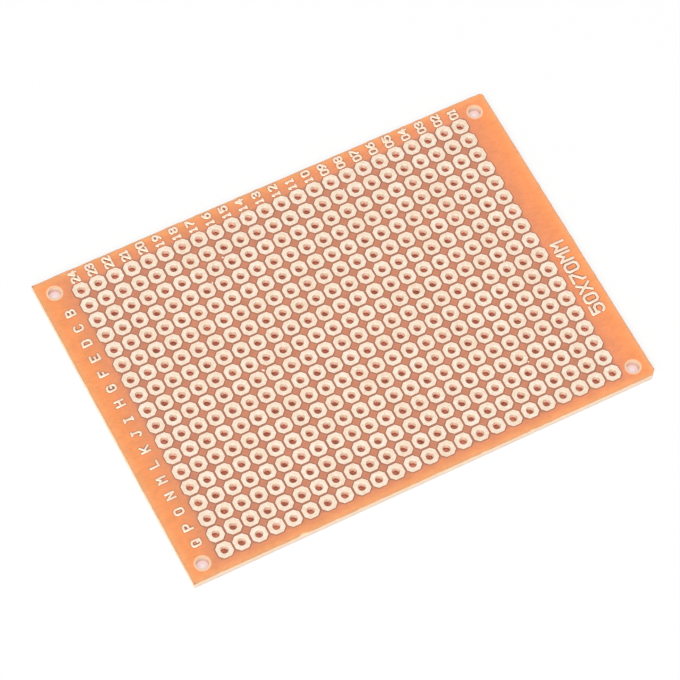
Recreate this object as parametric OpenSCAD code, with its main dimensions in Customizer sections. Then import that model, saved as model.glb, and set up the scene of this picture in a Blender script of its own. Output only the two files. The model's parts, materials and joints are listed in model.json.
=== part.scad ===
// Prototype board: a punched sheet of paper phenolic laminate with a grid of
// bare tinned pads on its top face, one mounting hole in each corner, and grid
// marks etched from the same foil. It lies on its plain bottom face.
// Origin: centre of the bottom face. +X runs from column 24 to column 01,
// +Y from the last row to row A, and +Z out of the copper side. Millimetres.

/* [Grid] */
// Distance between neighbouring lead holes
pitch = 2.54; // [2.5:0.01:5.1]
// Number of hole columns, counted from the right
columns = 24; // [8:1:40]
// Number of hole rows, lettered from the back
rows = 18; // [10:1:26]

/* [Laminate] */
// Thickness of the laminate
board_t = 1.2; // [0.8:0.1:2.4]
// Diameter of a lead hole
lead_hole_d = 1.05; // [0.8:0.05:1.3]
// Straight cut across the front right corner, measured along each edge
front_corner_cut = 0.7; // [0.1:0.1:1.2]
// Radius of the rounded back right corner
back_corner_r = 0.65; // [0.1:0.05:1.2]

/* [Mounting holes] */
// Diameter of a mounting hole
mount_hole_d = 1.7; // [1.5:0.1:2]
// Width of the ring crushed around the mouth of a mounting hole
mount_ring_w = 0.34; // [0.1:0.02:0.4]
// How far the crushed ring dips towards the hole
mount_ring_dip = 0.08; // [0.02:0.02:0.2]
// Distance from a mounting hole to the left or right edge
mount_inset_x = 2.4; // [1.8:0.1:2.8]
// Distance from a mounting hole to the back or front edge
mount_inset_y = 2.35; // [1.8:0.05:2.6]

/* [Pads] */
// Thickness of the copper foil with its tin coat
foil_t = 0.06; // [0.03:0.01:0.12]
// Bare laminate left between two pads that face each other
pad_gap = 0.28; // [0.2:0.02:0.6]
// Leg of the slanted corner of a pad, measured along each side
pad_corner = 0.57; // [0.3:0.01:0.62]
// How far the foil is drawn back around each lead hole
pad_set_back = 0.05; // [0:0.01:0.1]

/* [Column numbers] */
// Height of a digit, between the middles of its strokes
number_h = 1.05; // [0.8:0.05:1.4]
// Width of the foil line that draws a digit
number_stroke = 0.26; // [0.16:0.02:0.3]
// Distance from one digit to the next
number_advance = 0.98; // [0.9:0.02:1.4]
// Gap between the pads of row A and the numbers
number_gap = 0.23; // [0.15:0.01:1]
// Laminate left between the numbers and the back edge
number_margin = 0.3; // [0.2:0.05:3]

/* [Row letters] */
// Height of a letter, between the middles of its strokes
letter_h = 1.27; // [0.9:0.01:1.6]
// Width of the foil line that draws a letter
letter_stroke = 0.28; // [0.16:0.02:0.34]
// Gap between the pads of the last column and the letters
letter_gap = 0.95; // [0.3:0.05:2]
// Laminate left between the letters and the left edge
letter_margin = 2.16; // [1.4:0.02:5]

/* [Size mark] */
// Height of a character, between the middles of its strokes
mark_h = 1.86; // [1.5:0.02:2.4]
// Width of the foil line that draws the size mark
mark_stroke = 0.34; // [0.2:0.02:0.44]
// Distance from one character to the next
mark_advance = 1.795; // [1.6:0.005:2.4]
// Gap between the pads of the first column and the size mark
mark_gap = 0.8; // [0.3:0.05:2]
// Laminate left between the size mark and the right edge
mark_margin = 1.26; // [0.9:0.02:4]
// Distance from the front edge to the start of the size mark
mark_start = 11.48; // [4.2:0.02:12]

/* [Front strip] */
// Laminate left between the pads of the last row and the front edge
front_margin = 1.6; // [0.6:0.05:5]

/* [Hidden] */
row_names = [for (r = [0 : rows - 1]) chr(97 + r)];

// Characters are drawn in a cell of 4 by 6 units, wide by high.
CELL_W = 4;
CELL_H = 6;
// Roundness of holes and of the rounded corner.
ROUND_FN = 48;
// Overlap of a cut past the surface that it opens.
EPS = 0.01;

pad_w = pitch - pad_gap;
pad_hole_d = lead_hole_d + 2 * pad_set_back;
grid_l = (columns - 1) * pitch;
grid_w = (rows - 1) * pitch;

// Each strip around the grid is as wide as the marks that it carries.
number_l = number_advance + number_h * CELL_W / CELL_H + number_stroke;
left_strip = pad_w / 2 + letter_gap + letter_h + letter_stroke + letter_margin;
right_strip = pad_w / 2 + mark_gap + mark_h + mark_stroke + mark_margin;
back_strip = pad_w / 2 + number_gap + number_l + number_margin;
front_strip = pad_w / 2 + front_margin;

board_l = left_strip + grid_l + right_strip;
board_w = front_strip + grid_w + back_strip;
grid_x = (left_strip - right_strip) / 2;
grid_y = (front_strip - back_strip) / 2;
mount_x = board_l / 2 - mount_inset_x;
mount_y = board_w / 2 - mount_inset_y;

function column_x(c) = grid_x + grid_l / 2 - c * pitch;
function row_y(r) = grid_y + grid_w / 2 - r * pitch;

// Lines of a plain engraver's alphabet. Each entry is a character and its
// lines, and each line is a list of points in the cell. A line that ends where
// it began is a ring, listed anticlockwise. A sharp turn starts a new line.
OVAL = [[1, 0], [3, 0], [4, 1], [4, 5], [3, 6], [1, 6], [0, 5], [0, 1], [1, 0]];
GLYPHS = [
    ["0", [OVAL]],
    ["1", [[[0.3, 5], [1.2, 6]], [[1.2, 6], [1.2, 0]], [[0.3, 0], [2.1, 0]]]],
    ["2", [[[0, 5], [1, 6], [3, 6], [4, 5], [4, 4], [0, 0]], [[0, 0], [4, 0]]]],
    ["3", [[[0, 5], [1, 6], [3, 6], [4, 5], [4, 4], [3, 3]], [[1.5, 3], [3, 3]],
           [[3, 3], [4, 2], [4, 1], [3, 0], [1, 0], [0, 1]]]],
    ["4", [[[3, 0], [3, 6]], [[3, 6], [0, 2]], [[0, 2], [4, 2]]]],
    ["5", [[[4, 6], [0, 6], [0, 3]],
           [[0, 3], [1, 4], [3, 4], [4, 3], [4, 1], [3, 0], [1, 0], [0, 1]]]],
    ["6", [[[1, 0], [3, 0], [4, 1], [4, 2.6], [3, 3.6], [1, 3.6], [0, 2.6], [0, 1], [1, 0]],
           [[0, 2.6], [1.6, 4.8], [3.6, 6]]]],
    ["7", [[[0, 6], [4, 6], [4, 4.8], [0.6, 1.4], [0.6, 0]]]],
    ["8", [[[1, 0], [3, 0], [4, 1], [4, 2], [3, 3], [1, 3], [0, 2], [0, 1], [1, 0]],
           [[1, 3], [3, 3], [4, 4], [4, 5], [3, 6], [1, 6], [0, 5], [0, 4], [1, 3]]]],
    ["9", [[[1, 2.4], [3, 2.4], [4, 3.4], [4, 5], [3, 6], [1, 6], [0, 5], [0, 3.4], [1, 2.4]],
           [[4, 3.4], [2.4, 1.2], [0.4, 0]]]],
    ["B", [[[0, 0], [3, 0], [4, 1], [4, 2], [3, 3], [0, 3], [0, 0]],
           [[0, 3], [3, 3], [4, 4], [4, 5], [3, 6], [0, 6], [0, 3]]]],
    ["C", [[[4, 5], [3, 6], [1, 6], [0, 5], [0, 1], [1, 0], [3, 0], [4, 1]]]],
    ["D", [[[0, 0], [2.8, 0], [4, 1.2], [4, 4.8], [2.8, 6], [0, 6], [0, 0]]]],
    ["E", [[[4, 6], [0, 6], [0, 0], [4, 0]], [[0, 3], [2.6, 3]]]],
    ["F", [[[4, 6], [0, 6], [0, 0]], [[0, 3], [2.6, 3]]]],
    ["G", [[[4, 5], [3, 6], [1, 6], [0, 5], [0, 1], [1, 0], [3, 0], [4, 1], [4, 3], [2.4, 3]]]],
    ["H", [[[0, 0], [0, 6]], [[4, 0], [4, 6]], [[0, 3], [4, 3]]]],
    ["I", [[[0.2, 6], [2.4, 6]], [[0.2, 0], [2.4, 0]], [[1.3, 0], [1.3, 6]]]],
    ["J", [[[2, 6], [4, 6]], [[3, 6], [3, 1], [2, 0], [1, 0], [0, 1]]]],
    ["K", [[[0, 0], [0, 6]], [[4, 6], [0, 2.4]], [[1.4, 3.66], [4, 0]]]],
    ["L", [[[0, 6], [0, 0], [4, 0]]]],
    ["M", [[[0, 0], [0, 6]], [[0, 6], [2, 3.6], [4, 6]], [[4, 6], [4, 0]]]],
    ["N", [[[0, 0], [0, 6]], [[0, 6], [4, 0]], [[4, 0], [4, 6]]]],
    ["O", [OVAL]],
    ["P", [[[0, 0], [0, 2.6]], [[0, 2.6], [3, 2.6], [4, 3.6], [4, 5], [3, 6], [0, 6], [0, 2.6]]]],
    ["Q", [OVAL, [[2.4, 2], [4, 0]]]],
    ["R", [[[0, 0], [0, 2.6]], [[0, 2.6], [3, 2.6], [4, 3.6], [4, 5], [3, 6], [0, 6], [0, 2.6]],
           [[2, 2.6], [4, 0]]]],
    ["S", [[[4, 5], [3, 6], [1, 6], [0, 5], [0, 4], [1, 3], [3, 3], [4, 2], [4, 1], [3, 0],
            [1, 0], [0, 1]]]],
    ["T", [[[0, 6], [4, 6]], [[2, 6], [2, 0]]]],
    ["U", [[[0, 6], [0, 1], [1, 0], [3, 0], [4, 1], [4, 6]]]],
    ["V", [[[0, 6], [2, 0]], [[2, 0], [4, 6]]]],
    ["W", [[[0, 6], [1, 0]], [[1, 0], [2, 4]], [[2, 4], [3, 0]], [[3, 0], [4, 6]]]],
    ["X", [[[0, 0], [4, 6]], [[0, 6], [4, 0]]]],
    ["Y", [[[0, 6], [2, 3], [4, 6]], [[2, 3], [2, 0]]]]
];

function lines_of(letter) = [for (glyph = GLYPHS) if (glyph[0] == letter) each glyph[1]];

// The direction of a run, and the direction to its left.
function heading(a, b) = (b - a) / norm(b - a);
function left_of(v) = [-v[1], v[0]];

// The corner b of a line a, b, c, moved out to the left by reach.
function mitre(a, b, c, reach) =
    let (n = left_of(heading(a, b)), m = left_of(heading(b, c)))
    b + (n + m) * reach / (1 + n * m);

// Half an octagon around the end of a line.
function cap(end, ahead, reach) =
    let (left = left_of(ahead), k = tan(22.5))
    [for (v = [ahead * k + left, ahead + left * k, ahead - left * k, ahead * k - left]) end + v * reach];

// A flat strip of the given width along a line of points.
module strip(p, width) {
    last = len(p) - 1;
    reach = width / 2;
    if (p[0] == p[last])
        difference() {
            polygon([for (i = [1 : last]) mitre(p[i - 1], p[i], p[i % last + 1], -reach)]);
            polygon([for (i = [1 : last]) mitre(p[i - 1], p[i], p[i % last + 1], reach)]);
        }
    else
        polygon(concat(
            [for (i = [1 : 1 : last - 1]) mitre(p[i - 1], p[i], p[i + 1], reach)],
            cap(p[last], heading(p[last - 1], p[last]), reach),
            [for (i = [last - 1 : -1 : 1]) mitre(p[i - 1], p[i], p[i + 1], -reach)],
            cap(p[0], heading(p[1], p[0]), reach)
        ));
}

// Foil letters in one line, reading towards +Y with their tops towards -X.
// The middle of the first character's left side is at the origin.
module foil_text(letters, height, stroke, advance) {
    unit = height / CELL_H;
    rotate(90)
        linear_extrude(foil_t)
            for (i = [0 : len(letters) - 1])
                translate([i * advance, -height / 2])
                    for (points = lines_of(letters[i]))
                        strip(points * unit, stroke);
}

// The board's outline: square on the left, one corner cut and one rounded on the right.
module outline() {
    x = board_l / 2;
    y = board_w / 2;
    polygon([
        [-x, -y],
        [x - front_corner_cut, -y],
        [x, -y + front_corner_cut],
        [x, y - back_corner_r],
        [x - back_corner_r, y],
        [-x, y]
    ]);
    translate([x - back_corner_r, y - back_corner_r])
        circle(back_corner_r, $fn = ROUND_FN);
}

module mounting_hole() {
    translate([0, 0, -EPS])
        cylinder(d = mount_hole_d, h = board_t + 2 * EPS, $fn = ROUND_FN);
    translate([0, 0, board_t - mount_ring_dip])
        cylinder(
            d1 = mount_hole_d,
            d2 = mount_hole_d + 2 * mount_ring_w * (1 + EPS / mount_ring_dip),
            h = mount_ring_dip + EPS,
            $fn = ROUND_FN
        );
}

// The punched sheet with all its holes.
module laminate() {
    color("sandybrown")
        difference() {
            linear_extrude(board_t)
                outline();
            for (c = [0 : columns - 1], r = [0 : rows - 1])
                translate([column_x(c), row_y(r), -EPS])
                    cylinder(d = lead_hole_d, h = board_t + 2 * EPS, $fn = ROUND_FN);
            for (sx = [-1, 1], sy = [-1, 1])
                translate([sx * mount_x, sy * mount_y])
                    mounting_hole();
        }
}

// One eight-sided pad around its lead hole.
module pad() {
    half = pad_w / 2;
    side = half - pad_corner;
    linear_extrude(foil_t)
        difference() {
            polygon([
                [half, -side],
                [half, side],
                [side, half],
                [-side, half],
                [-half, side],
                [-half, -side],
                [-side, -half],
                [side, -half]
            ]);
            circle(d = pad_hole_d, $fn = ROUND_FN);
        }
}

// One row of separate pads on the laminate's top face.
module pads_row(r) {
    color("bisque")
        for (c = [0 : columns - 1])
            translate([column_x(c), row_y(r), board_t])
                pad();
}

// Numbers 01 and up behind the columns.
module column_numbers() {
    start = row_y(0) + pad_w / 2 + number_gap + number_stroke / 2;
    color("bisque")
        for (c = [0 : columns - 1])
            translate([column_x(c), start, board_t])
                foil_text(str(c < 9 ? "0" : "", c + 1), number_h, number_stroke, number_advance);
}

// Letters beside the rows, apart from the first and the last, which the mounting holes crowd.
module row_letters() {
    x = column_x(columns - 1) - pad_w / 2 - letter_gap - (letter_h + letter_stroke) / 2;
    letter_w = letter_h * CELL_W / CELL_H;
    color("bisque")
        for (r = [1 : rows - 2])
            translate([x, row_y(r) - letter_w / 2, board_t])
                foil_text(chr(65 + r), letter_h, letter_stroke, 0);
}

// The board's size, rounded to whole centimetres and written in millimetres.
module size_mark() {
    letters = str(10 * round(board_w / 10), "X", 10 * round(board_l / 10), "MM");
    x = column_x(0) + pad_w / 2 + mark_gap + (mark_h + mark_stroke) / 2;
    color("bisque")
        translate([x, mark_start + mark_stroke / 2 - board_w / 2, board_t])
            foil_text(letters, mark_h, mark_stroke, mark_advance);
}

laminate();
for (r = [0 : rows - 1])
    pads_row(r);
column_numbers();
row_letters();
size_mark();
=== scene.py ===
# %% [markdown]
# # A prototype board
#
# A prototype board starts as a sheet of paper phenolic laminate: layers of paper soaked in phenolic
# resin and pressed hot, which gives a hard orange sheet with a pale, papery cut edge. Copper foil is
# glued to one face. Etching leaves a grid of eight-sided pads with numbers and letters around it, and a
# thin coat of tin keeps the copper bright. A punch cuts one small hole through the middle of each pad.
#
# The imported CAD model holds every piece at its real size. This lesson loads it, reads its sizes, and
# dresses it: foil with rounded edges, torn paper at the cut edges, punched holes and the finishes.

# %% Load the frame
import json
import math
from functools import partial

import bpy
import numpy as np
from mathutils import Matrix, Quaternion, Vector, geometry


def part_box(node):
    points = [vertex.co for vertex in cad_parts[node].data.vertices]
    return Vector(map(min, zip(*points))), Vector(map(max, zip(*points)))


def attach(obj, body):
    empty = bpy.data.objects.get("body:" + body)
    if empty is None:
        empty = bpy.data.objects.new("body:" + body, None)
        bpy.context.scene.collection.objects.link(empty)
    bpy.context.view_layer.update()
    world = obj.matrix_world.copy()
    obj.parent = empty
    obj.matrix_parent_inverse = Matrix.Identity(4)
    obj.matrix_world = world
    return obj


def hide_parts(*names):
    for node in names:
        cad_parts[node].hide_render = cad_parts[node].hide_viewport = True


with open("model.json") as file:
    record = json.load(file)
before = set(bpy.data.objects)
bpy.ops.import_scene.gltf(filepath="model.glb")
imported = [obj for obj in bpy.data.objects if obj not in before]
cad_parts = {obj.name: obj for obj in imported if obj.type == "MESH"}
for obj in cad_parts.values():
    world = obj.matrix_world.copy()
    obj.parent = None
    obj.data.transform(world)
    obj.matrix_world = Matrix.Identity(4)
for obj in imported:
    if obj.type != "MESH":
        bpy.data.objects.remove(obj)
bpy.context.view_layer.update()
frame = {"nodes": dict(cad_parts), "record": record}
scene = bpy.context.scene

# %% [markdown]
# ## Reading the sizes
#
# Nothing here is measured twice. The rows of pads are CAD nodes, so their boxes give the pitch of the
# grid, the width of a pad and the height of the foil. The record's mounts give the holes. Only what a
# box can't say, such as the shape of a corner, is written here in millimetres.

# %% Measure the board
MM = 0.001

_, sheet_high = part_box("laminate")
BOARD_T = sheet_high.z
HALF_L = sheet_high.x
HALF_W = sheet_high.y

pad_nodes = sorted(name for name in frame["nodes"] if name.startswith("pads_row_"))
row_boxes = [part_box(name) for name in pad_nodes]
row_y = np.array([(low.y + high.y) / 2 for low, high in row_boxes])
row_low, row_high = row_boxes[0]
PAD_W = row_high.y - row_low.y
FOIL_TOP = row_high.z
PITCH = (row_y[0] - row_y[-1]) / (len(row_y) - 1)
first_x = row_low.x + PAD_W / 2
last_x = row_high.x - PAD_W / 2
column_x = np.linspace(first_x, last_x, round((last_x - first_x) / PITCH) + 1)

mounts = {mount["name"]: mount for mount in frame["record"]["mounts"]}
corner_holes = mounts["mounting_holes"]["dims"]
MOUNT_R = corner_holes["hole_r_mm"] * MM
MOUNT_X = corner_holes["spacing_x_mm"] * MM / 2
MOUNT_Y = corner_holes["spacing_y_mm"] * MM / 2
LEAD_R = mounts["lead_hole_a24"]["dims"]["r_mm"] * MM

FRONT_CUT = 0.7 * MM        # straight cut across the front right corner
BACK_RADIUS = 0.65 * MM     # radius of the back right corner
PAD_CORNER = 0.57 * MM      # leg of a pad's slanted corner
MOUNT_RING = 0.34 * MM      # width of the crushed ring around a mounting hole
MOUNT_DIP = 0.08 * MM       # how far that ring dips towards the hole
RING_CORE = MOUNT_R + 0.25 * MOUNT_RING

print(f"{len(column_x)} columns by {len(row_y)} rows at {PITCH / MM:.3f} mm, pads {PAD_W / MM:.2f} mm")

# %% [markdown]
# ## The camera
#
# A long lens from half a metre away keeps the grid's lines almost parallel. The camera is placed from
# the point it looks at: a turn away from straight ahead, a tilt down from level, a distance back along
# that line, and a small roll about it.

# %% Place the camera
AIM = Vector((-1.13, -1.23, 1.2)) * MM
DISTANCE = 495.7 * MM
TURN = math.radians(31.25)
TILT = math.radians(62.03)
ROLL = math.radians(4.23)

line_of_sight = Vector(
    (math.sin(TURN) * math.cos(TILT), math.cos(TURN) * math.cos(TILT), -math.sin(TILT))
)
lens = bpy.data.cameras.new("camera")
lens.sensor_width = 36.0
lens.lens = 194.6
lens.clip_start = 0.01
lens.clip_end = 10.0
camera = bpy.data.objects.new("camera", lens)
camera.location = AIM - DISTANCE * line_of_sight
camera.rotation_mode = "QUATERNION"
camera.rotation_quaternion = line_of_sight.to_track_quat("-Z", "Y") @ Quaternion((0, 0, 1), ROLL)
scene.collection.objects.link(camera)
scene.camera = camera
scene.view_settings.view_transform = "Standard"
print("camera at", [round(value, 4) for value in camera.location])

# %% [markdown]
# ## Colours and nodes
#
# Colours are written as the hex values that a screen shows. Blender's shaders reckon in linear light, so
# one function turns hex into linear numbers. A second adds any kind of node and links its inputs, a third
# lays tones over one another, as a painter lays glazes, and a fourth ends a material with its shader.
# Drawing such a tree by hand in the shader editor gives the same result, but can't be read at a glance.
#
# All the materials read Object coordinates in millimetres. So their distances are in millimetres, and
# the scale of a noise is its number of grains to the millimetre: 2.5 gives grains 0.4 mm across.

# %% Turn a screen colour into linear light
def linear(hex_colour):
    """Each channel c between 0 and 1 becomes c / 12.92 below 0.04045, and ((c + 0.055) / 1.055) to the
    power 2.4 above it. Alpha is 1."""
    screen = np.array([int(hex_colour[i:i + 2], 16) for i in (1, 3, 5)]) / 255
    light = np.where(screen <= 0.04045, screen / 12.92, ((screen + 0.055) / 1.055) ** 2.4)
    return (*light.tolist(), 1.0)


# %% Add any node
def add(tree, kind, *sources, **settings):
    """Adds a node of the given kind to a node tree, and returns it. The settings are the node's options.
    The sources go to its inputs in order, and those in a dictionary go to the inputs named there. A
    node, or one of its output sockets, is linked to the input, and anything else becomes its value."""
    node = tree.nodes.new("ShaderNode" + kind)
    for option, value in settings.items():
        setattr(node, option, value)
    wires = {}
    for number, source in enumerate(sources):
        wires |= source if isinstance(source, dict) else {number: source}
    for socket, source in wires.items():
        if isinstance(source, bpy.types.Node):
            source = source.outputs[0]
        if isinstance(source, bpy.types.NodeSocket):
            tree.links.new(source, node.inputs[socket])
        else:
            node.inputs[socket].default_value = source
    return node


# %% Start a material
def start_material(name):
    """Makes an empty material. Returns it, a function that adds a node to it, and its Object coordinates
    in millimetres, both whole and split into x, y and z."""
    material = bpy.data.materials.new(name)
    material.use_nodes = True
    material.node_tree.nodes.clear()
    new = partial(add, material.node_tree)
    metres = new("TexCoord").outputs["Object"]
    place = new("VectorMath", metres, {"Scale": 1 / MM}, operation="SCALE")
    return material, new, place, new("SeparateXYZ", place).outputs


# %% Lay tones over one another
def layered(new, base, *layers):
    """Starts from the base tone. Each layer is (amount, tone), and turns the colour so far into
    colour + amount * (tone - colour). A tone is a hex value or the output of a node."""
    colour = linear(base) if isinstance(base, str) else base
    for amount, tone in layers:
        tone = linear(tone) if isinstance(tone, str) else tone
        colour = new("Mix", amount, {6: colour, 7: tone}, data_type="RGBA").outputs[2]
    return colour


# %% Finish a material
def finish(new, colour, roughness, height, strength, depth, others):
    """Ends with one Principled shader, and a bump that stands for a surface whose height varies by the
    given depth. The others are the shader's remaining inputs."""
    bump = new("Bump", {"Height": height, "Strength": strength, "Distance": depth})
    wires = {"Base Color": colour, "Roughness": roughness, "Normal": bump}
    new("OutputMaterial", new("BsdfPrincipled", wires | others))


print("orange as linear light:", [round(value, 3) for value in linear("#F7A06B")])

# %% [markdown]
# ## Paper phenolic: the pressed face
#
# The pressed face is smooth, hard resin over brown paper, with a satin shine. The sheet lets some light
# through. Foil keeps light out, so the bare resin between the pads looks dull and pinkish, while the
# open borders look bright orange, and the rim of the sheet is brightest because light also enters
# through the cut edge. A thin brown line of painted shade lies along the foil's edges.
#
# All of that follows from distances, which the nodes work out from Object coordinates: the distance to
# the nearest pad, to the field of pads, and to the edge of the sheet. Vertex colours would also work,
# but they would need far more points on a flat face.

# %% Distance to the nearest pad
def pad_distance(new, x, y):
    """Distance in millimetres from the nearest pad's outline, from two numbers: how far a point is from
    the nearest pad's centre along x, u, and along y, v. The centre's number in its row is the rounded
    number of pitches from the first pad, kept between the first pad and the last. The distance to an
    eight-sided outline is the larger of max(u, v) - half and (u + v - reach) / sqrt(2)."""
    away = []
    for axis, first, count in ((x, first_x, len(column_x)), (y, row_y[-1], len(row_y))):
        offset = new("Math", axis, first / MM, operation="SUBTRACT")
        steps = new("Math", offset, PITCH / MM, operation="DIVIDE")
        nearest = new("Math", steps, operation="ROUND")
        kept = new("Clamp", nearest, 0.0, count - 1.0)
        centre = new("Math", kept, PITCH / MM, operation="MULTIPLY")
        past = new("Math", offset, centre, operation="SUBTRACT")
        away.append(new("Math", past, operation="ABSOLUTE"))
    longer = new("Math", away[0], away[1], operation="MAXIMUM")
    side = new("Math", longer, PAD_W / 2 / MM, operation="SUBTRACT")
    both = new("Math", away[0], away[1], operation="ADD")
    reach = new("Math", both, (PAD_W - PAD_CORNER) / MM, operation="SUBTRACT")
    slant = new("Math", reach, math.sqrt(0.5), operation="MULTIPLY")
    return new("Math", side, slant, operation="MAXIMUM")


# %% Distance outside a box
def box_distance(new, place, centre, half):
    """The larger of |x - centre x| - half length and |y - centre y| - half width: below 0 inside the
    box, and above 0 outside it."""
    offset = new("VectorMath", place, centre, operation="SUBTRACT")
    size = new("VectorMath", offset, operation="ABSOLUTE")
    past = new("SeparateXYZ", new("VectorMath", size, half, operation="SUBTRACT")).outputs
    return new("Math", past[0], past[1], operation="MAXIMUM")


# %% Distance from the nearest mounting hole
def hole_distance(new, place):
    """The four holes mirror one another, so this is the distance from (|x|, |y|) to the back right one."""
    flat = new("VectorMath", place, (1.0, 1.0, 0.0), operation="MULTIPLY")
    folded = new("VectorMath", flat, operation="ABSOLUTE")
    hole = (MOUNT_X / MM, MOUNT_Y / MM, 0.0)
    return new("VectorMath", folded, hole, operation="DISTANCE").outputs["Value"]


# %% The pressed face
# The sheet and the field of pads as boxes, (centre, half size), in millimetres.
SHEET_BOX = ((0.0, 0.0, 0.0), (HALF_L / MM, HALF_W / MM, 0.0))
FIELD_BOX = (
    ((first_x + last_x) / 2 / MM, (row_y[0] + row_y[-1]) / 2 / MM, 0.0),
    ((last_x - first_x + PAD_W) / 2 / MM, (row_y[0] - row_y[-1] + PAD_W) / 2 / MM, 0.0)
)

BETWEEN_PADS = "#CE8465"
BESIDE_FIELD = "#E59166"
OPEN_BORDER = "#F89A5D"
SHEET_RIM = "#F7A66A"
CRUSHED_RIM = "#D3A784"
# painted shade along the edges of the foil
PAINTED_EDGE_SHADE = "#886150"
PALE_CORE = "#FEE2C4"
SCUFF = "#7B5743"
RIGHT_END_TINT = (1.07, 1.015, 1.0, 1.0)        # multiplies the linear colour
PUNCH_LEAN = (0.035, 0.06, 0.0)     # the crushed rings lie so far to the front left of their holes, in mm
SMOOTH = {"interpolation_type": "SMOOTHSTEP"}       # an S curve instead of a straight change


def pressed_phenolic():
    """Colour starts from the dull tone between pads, and moves with distance to the tones of the border,
    of the rim and of its crushed outermost 0.3 mm. The first three tones are painted light that the sheet
    lets through. The right end is a little redder. Painted shade lies within 0.2 mm of a pad and around
    the characters, a pale fringe around each mounting hole, and a dark scuff on both left corners. Paper
    fibres, about 0.5 mm wide and 1.1 mm long, and a coarser cloud make the tone uneven."""
    material, new, place, (x, y, _) = start_material("paper_phenolic_pressed_face")
    field = box_distance(new, place, *FIELD_BOX)
    rim = box_distance(new, place, *SHEET_BOX)
    out_of_field = new("MapRange", field, -0.35, 0.15, **SMOOTH)
    open_border = new("MapRange", field, 0.1, 3.0)
    near_rim = new("MapRange", rim, -1.4, -0.05, **SMOOTH)
    borders = (out_of_field, BESIDE_FIELD), (open_border, OPEN_BORDER), (near_rim, SHEET_RIM)
    colour = layered(new, BETWEEN_PADS, *borders)
    redder = new("Math", new("MapRange", x, 0.0, 30.0), out_of_field, operation="MULTIPLY")
    tinted = new("Mix", redder, {6: colour, 7: RIGHT_END_TINT}, data_type="RGBA", blend_type="MULTIPLY")
    crushed = new("MapRange", rim, -0.4, -0.12, 0.0, 0.5, **SMOOTH)
    colour = layered(new, tinted.outputs[2], (crushed, CRUSHED_RIM))

    cloud = new("TexNoise", {"Vector": place, "Scale": 0.6, "Detail": 3.0})
    fibres = new("Mapping", place, {"Scale": (0.9, 2.2, 1.0), "Rotation": (0.0, 0.0, 0.5)})
    paper = new("TexNoise", {"Vector": fibres, "Scale": 1.0, "Detail": 4.0})
    specks = new("TexNoise", {"Vector": place, "Scale": 3.0, "Detail": 3.0, "Roughness": 0.7})
    mottle = new("Math", cloud, paper, operation="ADD")
    mottle = new("Math", mottle, specks, operation="ADD")
    tone = new("MapRange", mottle, 1.1, 1.9, 0.905, 1.105)
    colour = new("VectorMath", colour, {"Scale": tone}, operation="SCALE")

    # Painted shade: a dark line where the foil's edges shade the resin, around every pad and, through the
    # attribute, around the characters.
    pad = pad_distance(new, x, y)
    shade_around_pads = new("MapRange", pad, 0.02, 0.22, 0.85, 0.0, **SMOOTH)
    shade_around_characters = new("Attribute", attribute_name="painted_edge_shade").outputs["Fac"]
    painted_edge_shade = new("Math", shade_around_pads, shade_around_characters, operation="MAXIMUM")
    from_hole = hole_distance(new, new("VectorMath", place, PUNCH_LEAN, operation="ADD"))
    ring_end = (MOUNT_R + MOUNT_RING) / MM + 0.06
    fringe = new("MapRange", from_hole, RING_CORE / MM, ring_end, 1.0, 0.0)
    folded = new("CombineXYZ", x, new("Math", y, operation="ABSOLUTE"))
    left_corner = (-HALF_L / MM + 0.12, HALF_W / MM - 0.12, 0.0)
    from_corner = new("VectorMath", folded, left_corner, operation="DISTANCE")
    scuff = new("MapRange", from_corner.outputs["Value"], 0.05, 0.3, 0.4, 0.0)
    colour = layered(new, colour, (painted_edge_shade, PAINTED_EDGE_SHADE), (fringe, PALE_CORE), (scuff, SCUFF))

    grain = new("TexNoise", {"Vector": place, "Scale": 9.0, "Detail": 2.0})
    bumps = new("Math", grain, paper, operation="ADD")
    shine = new("MapRange", paper, 0.3, 0.7, 0.38, 0.5)
    finish(new, colour, shine, bumps, 0.12, 0.02 * MM, {"IOR": 1.5})
    return material


pressed_face = pressed_phenolic()
print("made", pressed_face.name)

# %% [markdown]
# ## Paper phenolic: the back, the cut edge and the holes
#
# The back has no foil and no residue, so it is the same resin in one even tone. Where the shear tears
# the sheet, the layers of paper show: pale, dull and fibrous, in lines that run along the edge, about
# eight to the millimetre. A picture of paper could be wrapped around the edge, but noise that is drawn
# out along it has no seams. A punched hole has the same torn paper near its mouth. Deeper down only
# light that has come through the resin reaches the wall, and it looks brick red.

# %% The back
def plain_phenolic():
    """The tone of the open border, a little duller, with a cloud and with fibres about 0.3 mm wide and
    2 mm long, which all run along the sheet."""
    material, new, place, _ = start_material("paper_phenolic_back")
    cloud = new("TexNoise", {"Vector": place, "Scale": 0.22, "Detail": 3.0})
    fibres = new("Mapping", place, {"Scale": (0.5, 3.2, 1.0)})
    paper = new("TexNoise", {"Vector": fibres, "Scale": 1.0, "Detail": 4.0})
    mottle = new("Math", cloud, paper, operation="ADD")
    amount = new("MapRange", mottle, 0.6, 1.4)
    colour = layered(new, "#E2925F", (amount, "#F0A36C"))
    finish(new, colour, 0.45, paper, 0.15, 0.02 * MM, {"IOR": 1.5})
    return material


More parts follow.
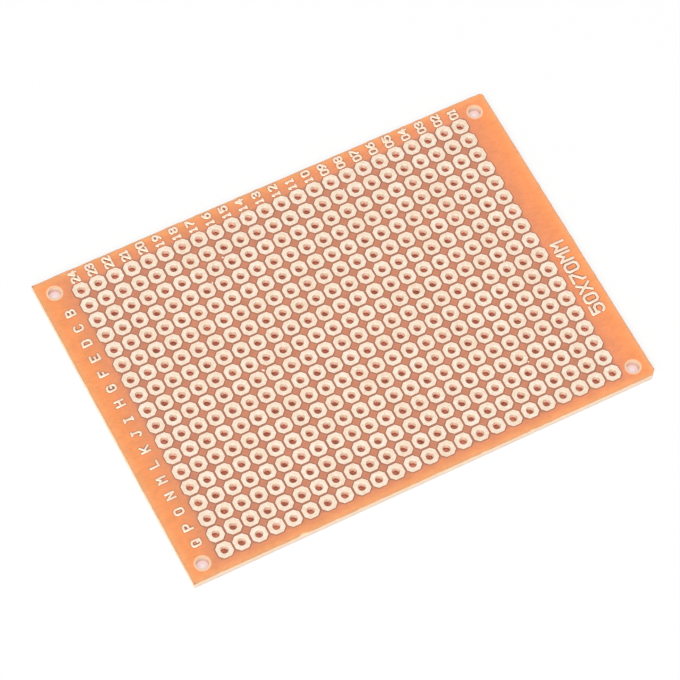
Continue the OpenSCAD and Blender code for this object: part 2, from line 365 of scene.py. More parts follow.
# %% The torn edges
def torn_paper():
    """The tone runs from a greyish cream at the foot, which is painted shade where the edge meets the
    table, to a warm cream further up, and to orange in the top fifth, where resin fills the paper. At the
    left end the foot is pale instead, painted light for the stronger light on that side. A noise drawn
    out along the sheet, which changes ten times as fast with height as along the edge, makes the layers
    of paper a little lighter or darker."""
    material, new, place, (x, _, z) = start_material("paper_phenolic_torn_edge")
    layers = new("Mapping", place, {"Scale": (0.8, 0.8, 8.0)})
    plies = new("TexNoise", {"Vector": layers, "Scale": 1.0, "Detail": 4.0})
    # Painted shade and light: a greyish foot for the shade where the edge meets the table, and a pale foot
    # at the left end for the stronger light there.
    left_end = new("MapRange", x, 0.05 - HALF_L / MM, 0.2 - HALF_L / MM)
    height = new("MapRange", z, 0.0, BOARD_T / MM)
    resin = new("MapRange", z, 0.78 * BOARD_T / MM, BOARD_T / MM)
    foot = layered(new, "#FFF0DC", (left_end, "#E6D0C2"))
    colour = layered(new, foot, (height, "#FFEACB"), (resin, "#FCB47C"))
    tone = new("MapRange", plies, 0.3, 0.7, 0.95, 1.07)
    colour = new("VectorMath", colour, {"Scale": tone}, operation="SCALE")
    dull = {"IOR": 1.5, "Specular IOR Level": 0.2}
    finish(new, colour, 0.85, plies, 0.5, 0.04 * MM, dull)
    return material


# %% The walls of the punched holes
def punched_wall(name, near_mouth, halfway, deep_down, passing=0.0):
    """Tone by height above the bottom of the sheet: the tone near the mouth in the top fifth, the tone
    halfway down around half the thickness, the tone deep down in the bottom eighth, and straight
    changes between. A speckle moves them up or down by as much as 0.2 mm. A wall that lies near the
    edge of the sheet glows with the little light passing through its paper."""
    material, new, place, (_, _, z) = start_material(name)
    speckle = new("TexNoise", {"Vector": place, "Scale": 2.5, "Detail": 4.0})
    uneven = new("MapRange", speckle, 0.3, 0.7, -0.2, 0.2)
    height = new("Math", z, uneven, operation="ADD")
    share = new("Math", height, BOARD_T / MM, operation="DIVIDE")
    lower = new("MapRange", share, 0.12, 0.45)
    upper = new("MapRange", share, 0.5, 0.8)
    colour = layered(new, deep_down, (lower, halfway), (upper, near_mouth))
    dull = {"IOR": 1.5, "Specular IOR Level": 0.25}
    glowing = {"Emission Color": linear("#F2D6D0"), "Emission Strength": passing}
    finish(new, colour, 0.7, speckle, 0.4, 0.03 * MM, dull | glowing)
    return material


back_face, torn_edge = plain_phenolic(), torn_paper()
lead_wall = punched_wall("paper_phenolic_lead_hole", "#EEE5D6", "#F7D0BB", "#9C4B34")
mount_wall = punched_wall("paper_phenolic_mounting_hole", "#EBDDC8", "#DFC5B2", "#D5B6A8", 0.1)
print("made", back_face.name, torn_edge.name, lead_wall.name, mount_wall.name)

# %% [markdown]
# ## Tinned copper foil
#
# The pads are copper foil with a roller coat of tin: a pale, slightly warm metal, rubbed dull by
# handling, so it has soft highlights and no mirror. The coat is thinner at the edges of the foil, where
# the tone turns to tan, and on the lip that dips into each hole the tan is also painted shade. No two
# pads have quite the same coat, so each carries a number, stored as an attribute on its points, that
# makes it a little lighter or warmer. The Random output of an Object Info node would do the same, but
# only if every pad were an object of its own.

# %% The foil
def tinned_foil():
    """A metal whose tone runs from warm cream to pale cream with each pad's own number and with patches
    about 0.5 mm across, to tan below the top of the foil, and to a faint pink on its flat top. The tan is
    copper where the coat is thin at the edges, and painted shade on the lip inside the hole. The faint
    pink is painted warm light from the orange sheet beside the foil. A grain of 0.15 mm, coarser than
    the real one so that it shows, makes the coat dull in places."""
    material, new, place, (_, _, z) = start_material("tinned_copper_foil")
    top = FOIL_TOP / MM
    coat = new("Attribute", attribute_name="coat").outputs["Fac"]
    patches = new("TexNoise", {"Vector": place, "Scale": 2.2, "Detail": 3.0})
    uneven = new("MapRange", patches, 0.3, 0.7, -0.5, 0.5)
    amount = new("Math", coat, uneven, operation="ADD", use_clamp=True)
    foot = BOARD_T / MM - 0.02
    # Tan below the top: a thin coat at the etched edges, and painted shade on the lip inside the hole.
    thin = new("MapRange", z, foot, top - 0.015, 1.0, 0.0, **SMOOTH)
    # Painted warm light: a faint pink on the flat top, from the orange sheet beside the foil.
    flat = new("MapRange", z, top - 0.005, top - 0.001, 0.0, 0.7)
    colour = layered(new, "#EED5BB", (amount, "#F5EADA"), (thin, "#D9B593"), (flat, "#FFDDC6"))
    rub = new("TexNoise", {"Vector": place, "Scale": 6.5, "Detail": 3.0})
    shine = new("MapRange", rub, 0.0, 1.0, 0.42, 0.6)
    finish(new, colour, shine, rub, 0.12, 0.01 * MM, {"Metallic": 0.7})
    return material


foil = tinned_foil()
print("made", foil.name)

# %% [markdown]
# ## Meshes from whole arrays
#
# Every new shape here is made of rings of points, so one function places the points of a ring, one
# joins neighbouring rings with four-sided faces, and one hands arrays of points and faces to Blender in
# one go. A Python loop over points would give the same mesh, only slowly, and would hide the formula.

# %% Place rings of points
def turns(count):
    """Angles that divide a full turn into equal parts."""
    return np.arange(count) * 2 * math.pi / count


def ring_around(x, y, radius, angle, height):
    """The same ring around each of many centres, as an array of centres by points by 3. A point is
    (x + radius * cos(angle), y + radius * sin(angle), height)."""
    across = x[:, None] + radius * np.cos(angle)
    along = y[:, None] + radius * np.sin(angle)
    return np.stack([across, along, np.full_like(across, height)], axis=-1)


# %% Join rings with faces
def numbers(rings, start=0):
    """Numbers of the points of an array of copies by rings by points by 3: point k of ring j of copy i
    has the number start + (i * rings + j) * points + k."""
    return start + np.arange(rings.size // 3).reshape(rings.shape[:3])


def bands(number, closed=False):
    """Faces between neighbouring rings, from the numbers of their points. A face joins points k and
    k + 1 of a ring to the same two points of the next ring, and the last point of a ring is followed by
    its first. When closed, the last ring is joined to the first one too."""
    if closed:
        number = np.concatenate([number, number[:, :1]], axis=1)
    following = np.roll(number, -1, axis=2)
    corners = (number[:, :-1], following[:, :-1], following[:, 1:], number[:, 1:])
    return np.stack(corners, axis=-1).reshape(-1, 4)


# %% Hand arrays to Blender
def make_piece(name, points, face_groups, materials, sharp_angle=35.0, flat_groups=()):
    """Makes an object from an array of points and a list of (faces, slot): one row of point numbers for
    each face, and the number of the material on those faces. The rows, run together, are the mesh's
    loops, and each face starts where the one before it ended. Edges sharper than the angle stay sharp,
    and so do all the edges of the groups that are named flat."""
    counts = [len(faces) for faces, _ in face_groups]
    sizes = np.repeat([faces.shape[1] for faces, _ in face_groups], counts)
    slots = np.repeat([slot for _, slot in face_groups], counts)
    smooth = np.repeat([i not in flat_groups for i in range(len(counts))], counts)
    loops = np.concatenate([faces.ravel() for faces, _ in face_groups])
    mesh = bpy.data.meshes.new(name)
    mesh.vertices.add(len(points))
    mesh.vertices.foreach_set("co", np.asarray(points, np.float32).ravel())
    mesh.loops.add(len(loops))
    mesh.loops.foreach_set("vertex_index", loops.astype(np.int32))
    mesh.polygons.add(len(sizes))
    mesh.polygons.foreach_set("loop_start", (np.cumsum(sizes) - sizes).astype(np.int32))
    mesh.polygons.foreach_set("material_index", slots.astype(np.int32))
    for material in materials:
        mesh.materials.append(material)
    mesh.update(calc_edges=True)
    mesh.set_sharp_from_angle(angle=math.radians(sharp_angle))
    mesh.polygons.foreach_set("use_smooth", smooth)
    piece = bpy.data.objects.new(name, mesh)
    scene.collection.objects.link(piece)
    print(f"{name}: {len(points)} points, {len(sizes)} faces")
    return piece


# %% Number each foil shape
def set_number(piece, name, values):
    """Stores one number for each point, which a material reads as the attribute of that name."""
    attribute = piece.data.attributes.new(name, "FLOAT", "POINT")
    attribute.data.foreach_set("value", np.asarray(values, np.float32))


# %% [markdown]
# ## The pads
#
# Each pad is one closed line around its hole, repeated as rings: the foot of the foil, its rounded top
# edge, the edge of the shallow dimple that the punch pressed, the rim of the hole, and the lip that the
# punch drew into the hole. Sixteen points around are enough: eight for the corners and eight between
# them, and smooth shading does the rest. With 432 pads, each further ring would cost thousands of faces.
#
# A Bevel modifier on an extruded octagon could round the edge too, but it couldn't dimple the face.

# %% The outline of a pad
SLANT_CORNER = math.atan2(PAD_W / 2 - PAD_CORNER, PAD_W / 2)
eighth = np.array([0.0, SLANT_CORNER, math.pi / 4, math.pi / 2 - SLANT_CORNER])
angles = np.concatenate([eighth + turn * math.pi / 2 for turn in range(4)])
AROUND = len(angles)


def octagon_radius(angle):
    """Distance from a pad's centre to its outline: the smallest of half / |cos|, half / |sin| and
    reach / (|cos| + |sin|), which are the distances to the straight sides and to the slanted ones."""
    across, along = np.abs(np.cos(angle)), np.abs(np.sin(angle))
    straight = PAD_W / 2 / np.maximum(across, along)
    return np.minimum(straight, (PAD_W - PAD_CORNER) / (across + along))


# %% The rings of a pad
RIM_R = 0.58 * MM       # the dimple starts this far from the middle of the hole
FOIL_T = FOIL_TOP - BOARD_T
PAD_OUTLINE = octagon_radius(angles)

# Each ring is (its radius, its height above the laminate, 1 if it was etched or 0 if it was punched).
PAD_RINGS = (
    (PAD_OUTLINE, 0.0, 1),
    (PAD_OUTLINE - 0.018 * MM, FOIL_T, 1),
    (RIM_R, FOIL_T - 0.015 * MM, 0),
    (LEAD_R - 0.03 * MM, -0.04 * MM, 0),
)


def pad_rings(x, y, shift):
    """Points of the rings of many pads, as an array of pads by rings by points by 3. The etched rings,
    but not the punched ones, are off by shift, because the foil is etched before it is punched."""
    rings = [
        ring_around(x + etched * shift[:, 0], y + etched * shift[:, 1], radius, angles, BOARD_T + height)
        for radius, height, etched in PAD_RINGS
    ]
    return np.stack(rings, axis=1)


# %% Make the rows of pads
chance = np.random.default_rng(24)
for node, y in zip(pad_nodes, row_y):
    count = len(column_x)
    shift = chance.normal(0.0, 0.012 * MM, (count, 2))
    rings = pad_rings(column_x, np.full(count, y), shift)
    faces = bands(numbers(rings), closed=True)
    pads = make_piece("tinned_" + node, rings.reshape(-1, 3), [(faces, 0)], [foil])
    set_number(pads, "coat", np.repeat(chance.uniform(0.35, 0.65, count), len(PAD_RINGS) * AROUND))
    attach(pads, "root")
    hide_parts(node)

# %% [markdown]
# ## The etched characters
#
# The characters are foil too, thin enough that their rounded edges are most of what shows. The CAD
# solids already have the right outline, so each is reused: its flat top is kept, and rings grow outwards
# from the top's boundary, down the rounded edge to the laminate, and out over a thin band at the foot,
# where shade is painted on. The painted shade is deepest where strokes crowd, as inside an 8, where
# the foil all around keeps light from the resin. The film that the letters were etched through came out
# a little small, so they are drawn in towards their centres. A Bevel modifier would round the edges
# too, but has no band for the painted shade.

# %% Find the boundary of the flat top
SAME_POINT = 0.0005 * MM        # points closer than this are one point


def top_outline(node):
    """Points and triangles of a CAD node's flat top, and the sides of its boundary, each as the point it
    leaves and the point it reaches. Equal points are merged first. A side of a triangle is on the
    boundary if no other triangle uses it in the other direction."""
    mesh = frame["nodes"][node].data
    points = np.empty((len(mesh.vertices), 3))
    mesh.vertices.foreach_get("co", points.ravel())
    mesh.calc_loop_triangles()
    triangles = np.empty((len(mesh.loop_triangles), 3), np.int32)
    mesh.loop_triangles.foreach_get("vertices", triangles.ravel())
    grid = np.round(points / SAME_POINT).astype(np.int64)
    _, kept, merged = np.unique(grid, axis=0, return_index=True, return_inverse=True)
    points, triangles = points[kept], merged.ravel()[triangles]
    on_top = (points[triangles][:, :, 2] > FOIL_TOP - 2 * SAME_POINT).all(axis=1)
    triangles = triangles[on_top]
    sides = np.concatenate([triangles[:, [0, 1]], triangles[:, [1, 2]], triangles[:, [2, 0]]])
    forward = sides[:, 0] * len(points) + sides[:, 1]
    backward = sides[:, 1] * len(points) + sides[:, 0]
    return points, triangles, sides[~np.isin(forward, backward)]


# %% Round the edge of the foil
# Each ring is (how far it stands outside the top's boundary, its height above the laminate).
EDGE_RINGS = (
    (-0.065 * MM, FOIL_T),
    (-0.025 * MM, FOIL_T - 0.012 * MM),
    (0.0, 0.3 * FOIL_T),
    (0.018 * MM, 0.002 * MM),
    (0.07 * MM, 0.002 * MM),
    (0.17 * MM, 0.001 * MM),
)
FOOT_RING = 3           # the foil meets the laminate here, and the painted shade starts
SHARPEST = 0.35         # keeps the mitre of a very sharp corner from running away


def outward_mitres(points, sides):
    """Which way and how far each boundary point goes when its two sides move out by 1 and stay parallel
    to themselves: (n + m) / (1 + n . m), where n and m are the sides' outward normals."""
    step = points[sides[:, 1], :2] - points[sides[:, 0], :2]
    step /= np.linalg.norm(step, axis=1, keepdims=True)
    outward = np.stack([step[:, 1], -step[:, 0]], axis=1)
    leaving, arriving = np.zeros((2, len(points), 2))
    leaving[sides[:, 0]] = outward
    arriving[sides[:, 1]] = outward
    open_angle = np.maximum(1 + (leaving * arriving).sum(axis=1, keepdims=True), SHARPEST)
    return (leaving + arriving) / open_angle


def draw_in(values, lines, scale):
    """Moves each value along one axis towards the nearest of some lines: line + scale * (value - line)."""
    nearest = lines[np.abs(values[:, None] - lines).argmin(axis=1)]
    return nearest + scale * (values - nearest)


# %% Painted shade where strokes crowd
OUTLINE_SHADE = 0.45
OPEN_SHARE, CROWDED_SHARE = 0.32, 0.52      # covered shares between which the painted shade deepens


def crowding(places, start, end):
    """Share of the surface near each place that foil covers: of 24 points around it, 0.2 and 0.4 mm
    away, the share that lies inside the outline. A point is inside if a line from it towards +x crosses
    an odd number of sides."""
    turn = turns(12)
    reach = np.array([[0.2], [0.4]]) * MM
    rise = np.where(end[:, 1] == start[:, 1], 1.0, end[:, 1] - start[:, 1])
    share = np.zeros(len(places))
    for east, north in zip((reach * np.cos(turn)).ravel(), (reach * np.sin(turn)).ravel()):
        x, y = places[:, :1] + east, places[:, 1:] + north
        straddles = (start[:, 1] > y) != (end[:, 1] > y)
        crossing = start[:, 0] + (y - start[:, 1]) / rise * (end[:, 0] - start[:, 0])
        share += (straddles & (crossing > x)).sum(axis=1) % 2
    return share / (len(turn) * len(reach))


def painted_shade_amount(places, ring, start, end):
    """Painted shade: some on the rings next to the foil, and up to 1 outside it where the covered share is
    high, as in the counters of characters.
    """
    outside = ring >= FOOT_RING
    covered = np.zeros(len(ring))
    covered[outside] = crowding(places[outside], start, end)
    between = np.clip((covered - OPEN_SHARE) / (CROWDED_SHARE - OPEN_SHARE), 0.0, 1.0)
    return np.maximum(np.where(ring <= FOOT_RING + 1, OUTLINE_SHADE, 0.0), between)


# %% A foil shape from a CAD node
def etched_foil(name, node, wider, scale=1.0, centres=None):
    """The flat top, and rings outside it: each boundary point moves out along its mitre by the ring's
    reach plus wider. The points are first drawn in by the scale towards the nearest of the lines given
    as centres. Points that no face uses, such as those of the CAD solid's foot, are left out."""
    points, triangles, sides = top_outline(node)
    for axis, lines in enumerate(centres or ()):
        points[:, axis] = draw_in(points[:, axis], lines, scale)
    mitre = outward_mitres(points, sides)
    rings = []
    for reach, height in EDGE_RINGS:
        flat = points[:, :2] + mitre * (reach + wider)
        rings.append(np.column_stack([flat, np.full(len(flat), BOARD_T + height)]))
    everything = np.concatenate(rings)
    count = len(points)
    first = np.arange(len(EDGE_RINGS) - 1)[:, None] * count
    here, after = sides[:, 0] + first, sides[:, 1] + first
    edge = np.stack([after, here, here + count, after + count], axis=-1)
    groups = (triangles, edge[:FOOT_RING].reshape(-1, 4), edge[FOOT_RING:].reshape(-1, 4))
    used = np.unique(np.concatenate([group.ravel() for group in groups]))
    faces = [(np.searchsorted(used, group), slot) for group, slot in zip(groups, (0, 0, 1))]
    piece = make_piece(name, everything[used], faces, [foil, pressed_face], sharp_angle=60.0)
    places = everything[used][:, :2]
    start, end = points[sides[:, 0], :2], points[sides[:, 1], :2]
    set_number(piece, "coat", 0.5 + 0.2 * np.sin(places[:, 1] / MM))
    # Painted shade around the characters, deepest where strokes crowd.
    set_number(piece, "painted_edge_shade", painted_shade_amount(places, used // count, start, end))
    return piece


# %% Make the characters
letters_low, letters_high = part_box("row_letters")
letters_middle = np.array([(letters_low.x + letters_high.x) / 2])
CHARACTERS = (
    ("column_numbers", 0.012 * MM, 1.0, None),
    ("row_letters", 0.0, 0.94, (letters_middle, row_y)),
    ("size_mark", 0.0, 1.0, None),
)
for node, wider, scale, centres in CHARACTERS:
    characters = etched_foil("etched_" + node, node, wider, scale, centres)
    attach(characters, "root")
    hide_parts(node)

# %% [markdown]
# ## The sheet
#
# The sheet is one closed skin: a flat top and bottom, a wall through every hole, and a wall around the
# outside. The walls are rings again. The outer wall is torn rather than cut, so its points wander by a
# few hundredths of a millimetre, and here and there a chip has come away from its upper edge.
#
# A flat face with 436 holes is awkward to build from rings. Blender's constrained Delaunay
# triangulation fills such a face exactly between the rings that are already there. Its triangles are
# long, and smooth shading would carry the tilt of the torn edge far into the face, so they stay flat.

# %% The outline of the sheet
def walk(corners, step):
    """Points along a closed line of corners: each run is divided into equal parts no longer than step,
    and each point is corner + fraction * (next corner - corner)."""
    ends = np.roll(corners, -1, axis=0)
    parts = np.ceil(np.linalg.norm(ends - corners, axis=1) / step).astype(int)
    run = np.repeat(np.arange(len(corners)), parts)
    fraction = (np.arange(len(run)) - np.repeat(np.cumsum(parts) - parts, parts)) / parts[run]
    return corners[run] + fraction[:, None] * (ends - corners)[run]


arc = np.linspace(0.0, math.pi / 2, 7)
round_corner = np.stack(
    [HALF_L - BACK_RADIUS * (1 - np.cos(arc)), HALF_W - BACK_RADIUS * (1 - np.sin(arc))], axis=1
)
corners = np.concatenate([
    [[-HALF_L, -HALF_W], [HALF_L - FRONT_CUT, -HALF_W], [HALF_L, -HALF_W + FRONT_CUT]],
    round_corner,
    [[-HALF_L, HALF_W]],
])
outline = walk(corners, 0.2 * MM)
print(len(outline), "points around the sheet")


# %% Random relief that stays smooth
def relief(rng, count, grain):
    """Numbers between about -1 and 1 around a closed line, smooth over a grain of that many points:
    random numbers, whose fast waves are removed by a bell curve on their Fourier transform."""
    waves = np.fft.rfft(rng.normal(size=count))
    waves *= np.exp(-(np.arange(len(waves)) * grain / count) ** 2)
    smooth = np.fft.irfft(waves, count)
    return smooth / (2 * smooth.std())


# %% The torn outer wall
# Each chip in the front edge is (place along x, half width, how far it reaches in), in millimetres.
FRONT_CHIPS = (
    (-30.9, 0.35, 0.10), (-18.7, 0.55, 0.22), (-13.9, 0.25, 0.08), (8.2, 0.3, 0.09),
    (15.6, 0.3, 0.13), (20.3, 0.25, 0.08)
)
# Each level is (height as a share of the thickness, how far it stands in, how rough it is there).
WALL_LEVELS = (
    (0.0, 0.02, 0.012), (0.03, 0.01, 0.012), (0.15, 0.01, 0.02), (0.32, 0.015, 0.03),
    (0.5, 0.015, 0.03), (0.68, 0.02, 0.03), (0.85, 0.01, 0.02), (0.965, 0.012, 0.02),
    (1.0, 0.0, 0.045)
)
TUFTS, FIBRES = 8.0, 1.5        # grains of the tear, in points of the outline


def outer_wall(rng):
    """Rings of the outer wall from the bottom up. A point stands in from the outline by its level's
    inset plus its level's roughness times 1 + a relief, which is never below 0. A chip adds its reach
    times a bell curve around its place, times the cube of the height share, so only the upper edge goes."""
    along = np.roll(outline, -1, axis=0) - np.roll(outline, 1, axis=0)
    along /= np.linalg.norm(along, axis=1, keepdims=True)
    inward = np.stack([-along[:, 1], along[:, 0]], axis=1)
    front = np.exp(-((outline[:, 1] + HALF_W) / (0.3 * MM)) ** 2)
    chips = np.zeros(len(outline))
    for place, width, reach in FRONT_CHIPS:
        chips += reach * np.exp(-((outline[:, 0] / MM - place) / width) ** 2) * front
    rings = []
    for share, inset, rough in WALL_LEVELS:
        grain = relief(rng, len(outline), TUFTS) + 0.5 * relief(rng, len(outline), FIBRES)
        depth = inset + rough * np.maximum(1 + grain, 0.0) + chips * share ** 3
        ring = outline + inward * depth[:, None] * MM
        rings.append(np.column_stack([ring, np.full(len(ring), share * BOARD_T)]))
    return np.stack(rings)[None]


wall_rings = outer_wall(np.random.default_rng(50))

# %% The walls of the holes
HOLE_AROUND = 16
# Each level is (height as a share of the thickness, how far the wall stands outside the punch).
LEAD_LEVELS = ((1.0, 0.0), (0.62, 0.0), (0.2, 0.006), (0.0, 0.02))


def lead_hole_rings(rng):
    """Rings of every lead hole from the top down, where the radius is the punch's, plus its level's
    breakout, plus up to 0.01 mm of tearing below the top."""
    x, y = (grid.ravel() for grid in np.meshgrid(column_x, row_y))
    rings = []
    for share, breakout in LEAD_LEVELS:
        tearing = rng.uniform(0.0, 0.01, (len(x), HOLE_AROUND)) * (share < 1.0)
        radius = LEAD_R + (breakout + tearing) * MM
        rings.append(ring_around(x, y, radius, turns(HOLE_AROUND), share * BOARD_T))
    return np.stack(rings, axis=1)


# Each level is (how far out along the crushed ring, from 0 at the wall to 1 at the mouth; height).
MOUNT_LEVELS = (
    (1.0, BOARD_T), (0.6, BOARD_T - 0.12 * MOUNT_DIP), (0.25, BOARD_T - 0.4 * MOUNT_DIP),
    (0.08, BOARD_T - 0.8 * MOUNT_DIP), (0.0, BOARD_T - 2.2 * MOUNT_DIP),
    (0.0, 0.4 * BOARD_T), (0.05, 0.0)
)
CRUSHED_BANDS, TORN_BANDS = 2, 4        # the bands down to these are pressed face, then torn paper
MOUNT_AROUND = 40
MOUNT_WANDER = 0.04 * MM


def mount_hole_rings(rng):
    """Rings of the four mounting holes from the top down. The edge of the crushed ring wanders inwards
    and outwards by up to 0.04 mm, from a circle that is as much smaller."""
    x, y = np.array([1, -1, -1, 1]) * MOUNT_X, np.array([1, 1, -1, -1]) * MOUNT_Y
    wander = np.stack([relief(rng, MOUNT_AROUND, 4.0) for _ in x]) * MOUNT_WANDER
    rings = []
    for out, height in MOUNT_LEVELS:
        radius = MOUNT_R + out * MOUNT_RING + (wander - MOUNT_WANDER) * (out > 0.5)
        rings.append(ring_around(x, y, radius, turns(MOUNT_AROUND), height))
    return np.stack(rings, axis=1)


lead_rings = lead_hole_rings(np.random.default_rng(5))
mount_rings = mount_hole_rings(np.random.default_rng(7))
print(lead_rings.shape[0], "lead holes and", mount_rings.shape[0], "mounting holes")


# %% Fill a flat face around its holes
def flat_face(points, loops):
    """Triangles between the first loop and the round holes inside it. The triangulation gets every loop
    as a closed chain of edges. A triangle fills a hole if its corners all lie on one loop other than the
    first."""
    chain = np.concatenate(loops)
    where = np.concatenate([np.full(len(loop), i) for i, loop in enumerate(loops)])
    local = np.arange(len(chain))
    ends = np.cumsum([len(loop) for loop in loops])[:-1]
    after = np.concatenate([np.roll(loop, -1) for loop in np.split(local, ends)])
    flat = [Vector(pair) for pair in (points[chain, :2] / MM).tolist()]
    edges = np.stack([local, after], axis=1).tolist()
    placed, _, triangles, origins, _, _ = geometry.delaunay_2d_cdt(flat, edges, [], 1, 1e-6)
    origin = np.array([source[0] for source in origins])
    triangles = origin[np.array(triangles)]
    owner = where[triangles]
    in_hole = (owner[:, 0] > 0) & (owner[:, 0] == owner[:, 1]) & (owner[:, 1] == owner[:, 2])
    print(f"{len(placed)} points placed of {len(chain)}, {int((~in_hole).sum())} triangles kept")
    return chain[triangles[~in_hole]]


# %% Make the sheet
blocks = [wall_rings, lead_rings, mount_rings]
starts = np.cumsum([0] + [block.size // 3 for block in blocks])
block_numbers = [numbers(block, start) for block, start in zip(blocks, starts)]
sheet_points = np.concatenate([block.reshape(-1, 3) for block in blocks])
top_loops, bottom_loops = [], []
for number, top, bottom in zip(block_numbers, (-1, 0, 0), (0, -1, -1)):
    top_loops += list(number[:, top])
    bottom_loops += list(number[:, bottom])
top_triangles = flat_face(sheet_points, top_loops)

# The bottom has the same loops in the same order, so it takes the top's triangles, turned over.
below = np.zeros(len(sheet_points), int)
below[np.concatenate(top_loops)] = np.concatenate(bottom_loops)
bottom_triangles = below[top_triangles][:, ::-1]

outer_faces, lead_faces, mount_faces = (bands(number) for number in block_numbers)
mount_bands = mount_faces.reshape(4, len(MOUNT_LEVELS) - 1, MOUNT_AROUND, 4)
crushed, torn, punched = (
    part.reshape(-1, 4) for part in np.split(mount_bands, [CRUSHED_BANDS, TORN_BANDS], axis=1)
)
sheet = make_piece(
    "laminate_sheet", sheet_points,
    [(top_triangles, 0), (crushed, 0), (bottom_triangles, 1), (outer_faces, 2), (torn, 2),
     (lead_faces, 3), (punched, 4)],
    [pressed_face, back_face, torn_edge, lead_wall, mount_wall], flat_groups=(0, 2)
)
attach(sheet, "root")
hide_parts("laminate")

# %% [markdown]
# ## Specks of tin
#
# The tin roller leaves a few specks and whiskers between the pads. They are half drops: a dome drawn
# out to an oval. Six of them are enough to break the grid's perfection.

# %% Make the specks
# Each speck is (x and y of its centre, half length, half width, turn in degrees), in millimetres.
SPECKS = (
    (-9.56, 17.2, 0.2, 0.12, 120), (-12.6, 14.3, 0.2, 0.11, 80), (10.2, 19.4, 0.15, 0.08, 45),
    (24.57, -0.44, 0.25, 0.08, 48), (20.07, -15.47, 0.15, 0.1, 135), (-12.47, -0.7, 0.27, 0.11, 132)
)
SPECK_HEIGHT = 0.045 * MM


def specks():
    """Domes over ovals: a point at turn t and rise r is the centre + length * cos t * cos r along the
    oval and width * sin t * cos r across it, at the height times sin r, with a small flat top."""
    turn = turns(12)
    rise = np.array([0.0, 0.55, 1.05, 1.45])[:, None]
    height = BOARD_T + SPECK_HEIGHT * np.sin(rise) * np.ones(len(turn))
    domes = []
    for x, y, length, width, degrees in SPECKS:
        along, across = length * np.cos(turn) * np.cos(rise), width * np.sin(turn) * np.cos(rise)
        lean = math.radians(degrees)
        east = x + along * math.cos(lean) - across * math.sin(lean)
        north = y + along * math.sin(lean) + across * math.cos(lean)
        domes.append(np.stack([east * MM, north * MM, height], axis=-1))
    rings = np.stack(domes)
    number = numbers(rings)
    faces = [(bands(number), 0), (number[:, -1], 0)]
    return make_piece("tin_specks", rings.reshape(-1, 3), faces, [foil])


drops = specks()
set_number(drops, "coat", np.full(len(drops.data.vertices), 0.6))
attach(drops, "root")

# %% [markdown]
# ## The studio
#
# The board lies on a white table in an even, soft light. The sky lights it from everywhere at half
# strength, and one wide lamp on the left adds the rest and a direction. The table's colour is white
# for the camera and for reflections, and a touch darker for the light that it sends back, so the
# background stays white without more light on the board.
#
# Light also reaches the table through the orange sheet, and shows in the holes. Tracing it through the
# laminate would take very long, so the table has its tones painted on: a blotchy brick red under the
# field of pads, a pink that deepens from the middle of each mounting hole to its wall, and a narrow warm
# light past the back and right edges, where light leaves the cut edge.

# %% What sees a plain white
def seen_by_eye(new):
    """1 for rays from the camera, from a glossy surface or through glass, and 0 for the light that
    surfaces send to one another."""
    rays = new("LightPath").outputs
    seen = new("Math", rays["Is Camera Ray"], rays["Is Glossy Ray"], operation="MAXIMUM")
    return new("Math", seen, rays["Is Transmission Ray"], operation="MAXIMUM")


# %% The table
RESTING = 0.05 * MM         # light that starts closer below the table than this comes from the sheet


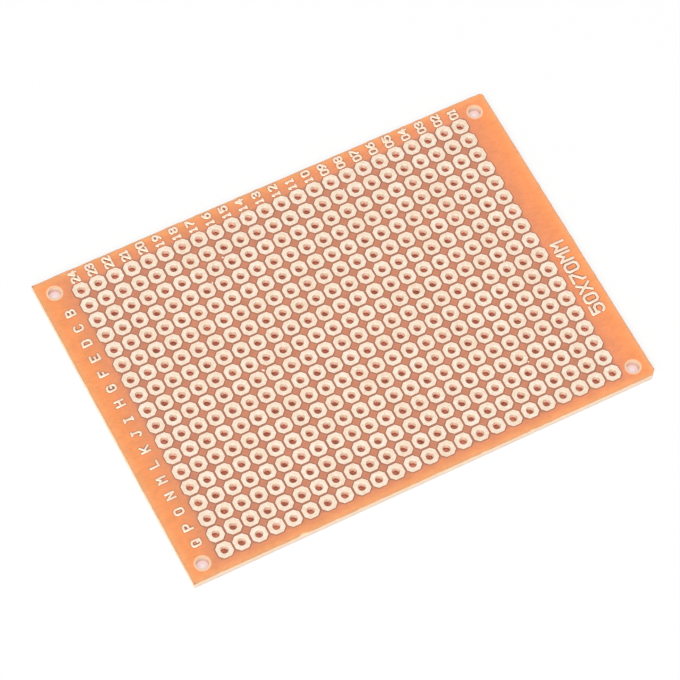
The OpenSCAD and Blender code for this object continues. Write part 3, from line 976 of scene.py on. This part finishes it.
def white_table():
    """Matte white. Where it is seen, three quarters of its brightness are a plain white that keeps no
    shadow, and the rest is lit and keeps it. The painted tones change with the distance to the sheet's
    edge, to the field of pads and to the mounting holes. Under the pads the table also glows, unseen, to
    light the holes' walls. The warm light falls off over 0.45 mm. From below the table is clear, and
    light that leaves a surface resting on it passes too, so that the back of the board can be seen."""
    material, new, place, _ = start_material("matte_white_table")
    seen = seen_by_eye(new)
    sheet_edge = box_distance(new, place, *SHEET_BOX)
    field = box_distance(new, place, *FIELD_BOX)
    near_wall = new("MapRange", hole_distance(new, place), 0.1, MOUNT_R / MM)
    pink_tone = layered(new, "#FDEBEC", (near_wall, "#F3CCC6"))
    outer_rows = new("MapRange", field, -3.2, -0.8)
    brick_tone = layered(new, "#B86F5B", (outer_rows, "#D07F66"))
    blotches = new("TexNoise", {"Vector": place, "Scale": 1.3, "Detail": 3.0})
    depth = new("MapRange", blotches, 0.3, 0.7, 0.6, 1.25)
    brick_tone = new("VectorMath", brick_tone, {"Scale": depth}, operation="SCALE").outputs[0]
    pink = new("MapRange", sheet_edge, -0.6, -0.2, 1.0, 0.0)
    brick = new("MapRange", field, -0.5, 0.0, 1.0, 0.0)
    colour = layered(new, "#FFFFFF", (pink, pink_tone), (brick, brick_tone))

    lit = new("MapRange", seen, 0.0, 1.0, 0.9, 1.0)
    matte = new("BsdfDiffuse", new("VectorMath", colour, {"Scale": lit}, operation="SCALE"))
    plain = new("Emission", colour)
    share = new("MapRange", seen, 0.0, 1.0, 0.0, 0.74)
    upper_side = new("MixShader", share, matte, plain)

    unseen = new("Math", 1.0, seen, operation="SUBTRACT")
    glow = new("Math", brick, unseen, operation="MULTIPLY")
    past = new("SeparateXYZ", new("VectorMath", place, SHEET_BOX[1], operation="SUBTRACT")).outputs
    behind = new("Math", past[0], past[1], operation="MAXIMUM")
    behind = new("Math", behind, -0.05, operation="GREATER_THAN")
    away = new("Math", sheet_edge, operation="ABSOLUTE")
    fading = new("MapRange", away, 0.0, 0.45, 0.1, 0.0)
    fading = new("Math", fading, behind, operation="MULTIPLY")
    edge_light = new("Math", fading, seen, operation="MULTIPLY")
    for tone, strength in (("#FFE4D6", glow), ("#FFE7AA", edge_light)):
        upper_side = new("AddShader", upper_side, new("Emission", linear(tone), strength))

    from_below = new("NewGeometry").outputs["Backfacing"]
    ray_length = new("LightPath").outputs["Ray Length"]
    resting = new("Math", ray_length, RESTING, operation="LESS_THAN")
    passing = new("Math", from_below, resting, operation="MAXIMUM")
    new("OutputMaterial", new("MixShader", passing, upper_side, new("BsdfTransparent")))
    material.cycles.emission_sampling = "NONE"  # the table is too wide to be sampled as a lamp
    return material


TABLE = 1.5                 # half the table's width, in metres
TABLE_TOP = -0.005 * MM     # just below the sheet, so that the two faces never coincide
square = TABLE * np.array([[-1, -1], [1, -1], [1, 1], [-1, 1]])
table_points = np.column_stack([square, np.full(4, TABLE_TOP)])
table = make_piece("table", table_points, [(np.array([[0, 1, 2, 3]]), 0)], [white_table()])

# %% The sky
sky = bpy.data.worlds.new("soft_sky")
scene.world = sky
sky.use_nodes = True
sky.node_tree.nodes.clear()
new = partial(add, sky.node_tree)
way = new("SeparateXYZ", new("TexCoord").outputs["Generated"])
underneath = new("Math", way.outputs["Z"], 0.0, operation="LESS_THAN")
full = new("Math", seen_by_eye(new), underneath, operation="MAXIMUM")
strength = new("MapRange", full, 0.0, 1.0, 0.5, 1.0)
new("OutputWorld", new("Background", linear("#FFFFFF"), strength))
print("sky made of", len(sky.node_tree.nodes), "nodes")

# %% The lamp
lamp_light = bpy.data.lights.new("wide_lamp", "AREA")
lamp_light.shape = "DISK"
lamp_light.size = 3.2
lamp_light.energy = 116.0
lamp = bpy.data.objects.new("wide_lamp", lamp_light)
lamp.location = (-1.64, -1.84, 3.16)
lamp.rotation_mode = "QUATERNION"
lamp.rotation_quaternion = (-lamp.location).to_track_quat("-Z", "Y")
scene.collection.objects.link(lamp)
print("lamp", round(lamp.location.length, 3), "m from the board")
